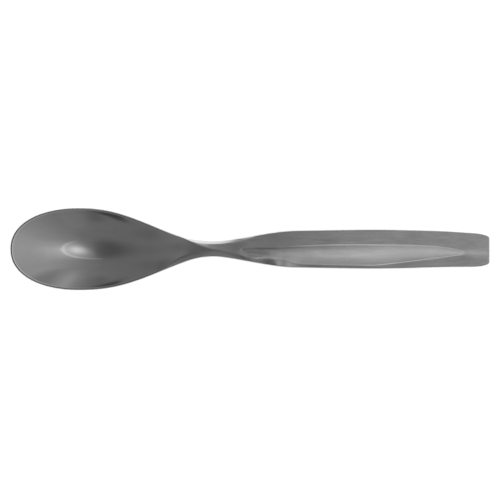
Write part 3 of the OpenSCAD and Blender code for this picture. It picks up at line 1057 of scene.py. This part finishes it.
def graded(value, stops):
    low = stops[0][0]
    high = stops[-1][0]
    place = sky.new("ShaderNodeMapRange")
    place.inputs["From Min"].default_value = low
    place.inputs["From Max"].default_value = high
    sky_link(value, place.inputs["Value"])
    scale = sky.new("ShaderNodeValToRGB")
    elements = scale.color_ramp.elements
    while len(elements) < len(stops):
        elements.new(unplaced)
    for element, (position, share) in zip(elements, stops):
        element.position = (position - low) / (high - low)
        element.color = (share, share, share, 1)
    sky_link(place.outputs["Result"], scale.inputs["Fac"])
    return scale.outputs["Color"]


# The tent is dimmer towards its sides and lighter on the right, with a panel low on the right and one
# low on the left
dim_to_sides = -0.45
tent_greys = ((-1, 0.2), (-0.3, 0.205), (-0.05, 0.22), (0.05, 0.26), (0.15, 0.33), (0.3, 0.39),
              (0.45, 0.42), (0.6, 0.46), (0.8, 0.5), (1, 0.5))
side_greys = ((-0.1, 0), (0.1, 0.18), (0.5, 0.16), (0.8, 0))
right_panel = ((0.82, 0), (0.95, 1))
right_panel_greys = ((-0.3, 0), (-0.1, 0.1), (0, 0), (0.05, 0.12), (0.11, 0.48), (0.18, 0.3), (0.27, 0))
left_panel = ((-0.9, 1), (-0.72, 0))
left_panel_greys = ((-0.05, 0), (0.08, 0.2), (0.15, 0.15), (0.22, 0))
side_loss = sky_math("MULTIPLY_ADD", sky_math("ABSOLUTE", to_right), dim_to_sides, 1.0)
tent = graded(sky_math("MULTIPLY", to_butt, side_loss), tent_greys)
gain = sky_math("MULTIPLY_ADD", to_right, graded(to_butt, side_greys), 1.0)
gain = sky_math("MULTIPLY_ADD", graded(to_right, right_panel), graded(to_butt, right_panel_greys), gain)
gain = sky_math("MULTIPLY_ADD", graded(to_right, left_panel), graded(to_butt, left_panel_greys), gain)

# What is dark in the tent: a seam low along both sides, a shade on the right, the ground beyond the
# bowl's tip, and the oval opening
seam = ((0.94, 0), (0.97, 1))
seam_greys = ((-0.3, 0), (-0.2, 0.12), (-0.1, 0.25), (-0.02, 0.1), (0.03, 0))
right_shade = ((0.74, 0), (0.8, 0.6), (0.86, 1))
right_shade_greys = ((0.15, 0), (0.24, 0.12), (0.31, 0.25), (0.4, 0.31), (0.5, 0.31), (0.6, 0.2), (0.7, 0))
ground_dark = ((0.05, 0.75), (0.5, 0))
ground_side = ((-0.75, 1), (-0.5, 0))
oval_centre = -0.14
oval_reach = 0.496
oval_width = 0.54
oval_dark = ((0, 0.46), (0.5, 0.43), (0.7, 0.37), (0.85, 0.28), (1, 0.17), (1.15, 0.07), (1.3, 0))
dark_side = ((-0.3, 1), (-0.12, 0.88), (-0.05, 0.74), (-0.02, 0.62), (0, 0.48), (0.015, 0.28), (0.04, 0))
seam_shade = sky_math("MULTIPLY", graded(sky_math("ABSOLUTE", to_right), seam), graded(to_butt, seam_greys))
side_shade = sky_math("MULTIPLY", graded(to_right, right_shade), graded(to_butt, right_shade_greys))
ground_shade = sky_math("MULTIPLY", graded(upwards, ground_dark), graded(to_butt, ground_side))
oval_x = sky_math("POWER", sky_math("DIVIDE", sky_math("SUBTRACT", to_butt, oval_centre), oval_reach), 2)
oval_y = sky_math("POWER", sky_math("DIVIDE", to_right, oval_width), 2)
oval = sky_math("SQRT", sky_math("ADD", oval_x, oval_y))
oval_shade = sky_math("MULTIPLY", graded(oval, oval_dark), graded(to_butt, dark_side))
grey = sky_math("MULTIPLY", tent, gain)
for shade in (seam_shade, side_shade, ground_shade, oval_shade):
    grey = sky_math("MULTIPLY", grey, sky_math("SUBTRACT", 1.0, shade))

# The strip lamp and its brighter core. They hang a little askew, and are weaker outside the oval.
lamp_slant = 0.12
lamp_along = ((0, 0), (0.03, 0.02), (0.06, 0.1), (0.095, 0.22), (0.115, 0.3), (0.15, 0.34), (0.24, 0.36),
              (0.4, 0.36), (0.49, 0.26), (0.56, 0.21), (0.63, 0.11), (0.77, 0))
lamp_across = ((-0.5, 0), (-0.4, 0.1), (-0.31, 0.25), (-0.16, 0.53), (-0.03, 0.92), (0.05, 1), (0.15, 0.95),
               (0.3, 0.62), (0.4, 0.4), (0.47, 0.2), (0.56, 0))
core_along = ((0.06, 0), (0.095, 0.06), (0.115, 0.13), (0.15, 0.22), (0.195, 0.36), (0.24, 0.18), (0.29, 0))
core_across = ((-0.3, 0), (-0.16, 0.4), (-0.03, 0.92), (0.05, 1), (0.15, 0.85), (0.25, 0.25), (0.33, 0))
oval_lit = ((0.96, 1), (1.05, 0.7))
lamp_x = sky_math("MULTIPLY_ADD", to_right, lamp_slant, to_butt)
strip_glow = sky_math("MULTIPLY", graded(lamp_x, lamp_along), graded(to_right, lamp_across))
core_glow = sky_math("MULTIPLY", graded(lamp_x, core_along), graded(to_right, core_across))
lamp_glow = sky_math("MULTIPLY", sky_math("ADD", strip_glow, core_glow), graded(oval, oval_lit))

# The oval's edge, which catches the light on the side of the butt
edge_slant = 0.3
oval_edge = ((0.93, 0), (0.98, 1), (1.01, 1), (1.06, 0))
edge_greys = ((0, 0), (0.1, 0.11), (0.2, 0.2), (0.3, 0.28), (0.4, 0.28))
edge_x = sky_math("MULTIPLY_ADD", to_right, edge_slant, to_butt)
edge_glow = sky_math("MULTIPLY", graded(oval, oval_edge), graded(edge_x, edge_greys))
brightness = sky_math("ADD", sky_math("ADD", grey, lamp_glow), edge_glow)
sky_link(brightness, sky["Background"].inputs["Color"])

# The even lamp shines straight down and doesn't show in the steel. Its spread is in degrees, and its
# place in metres.
table_lamp_power = 2.85
table_lamp_spread = 4
table_lamp_place = (0, 0, 1)
lamp = bpy.data.lights.new("table_lamp", "SUN")
lamp.energy = table_lamp_power
lamp.angle = np.radians(table_lamp_spread)
lamp_object = bpy.data.objects.new("table_lamp", lamp)
lamp_object.location = table_lamp_place
lamp_object.visible_glossy = False
bpy.context.collection.objects.link(lamp_object)
bpy.context.scene.view_settings.view_transform = "Standard"

# Camera. Straight above the spoon, with the tip of the bowl on the left. It stands far off and has a
# long lens. Its place, the width that it sees and the far end of its view are in metres.
camera_place = (-0.00005, -0.00037, 6.0)
view_w = 0.2089
view_end = 10
sensor_w = 36
camera = bpy.data.cameras.new("camera")
camera.sensor_width = sensor_w
camera.lens = sensor_w * camera_place[2] / view_w
camera.clip_end = view_end
camera_object = bpy.data.objects.new("camera", camera)
camera_object.location = camera_place
bpy.context.collection.objects.link(camera_object)
bpy.context.scene.camera = camera_object
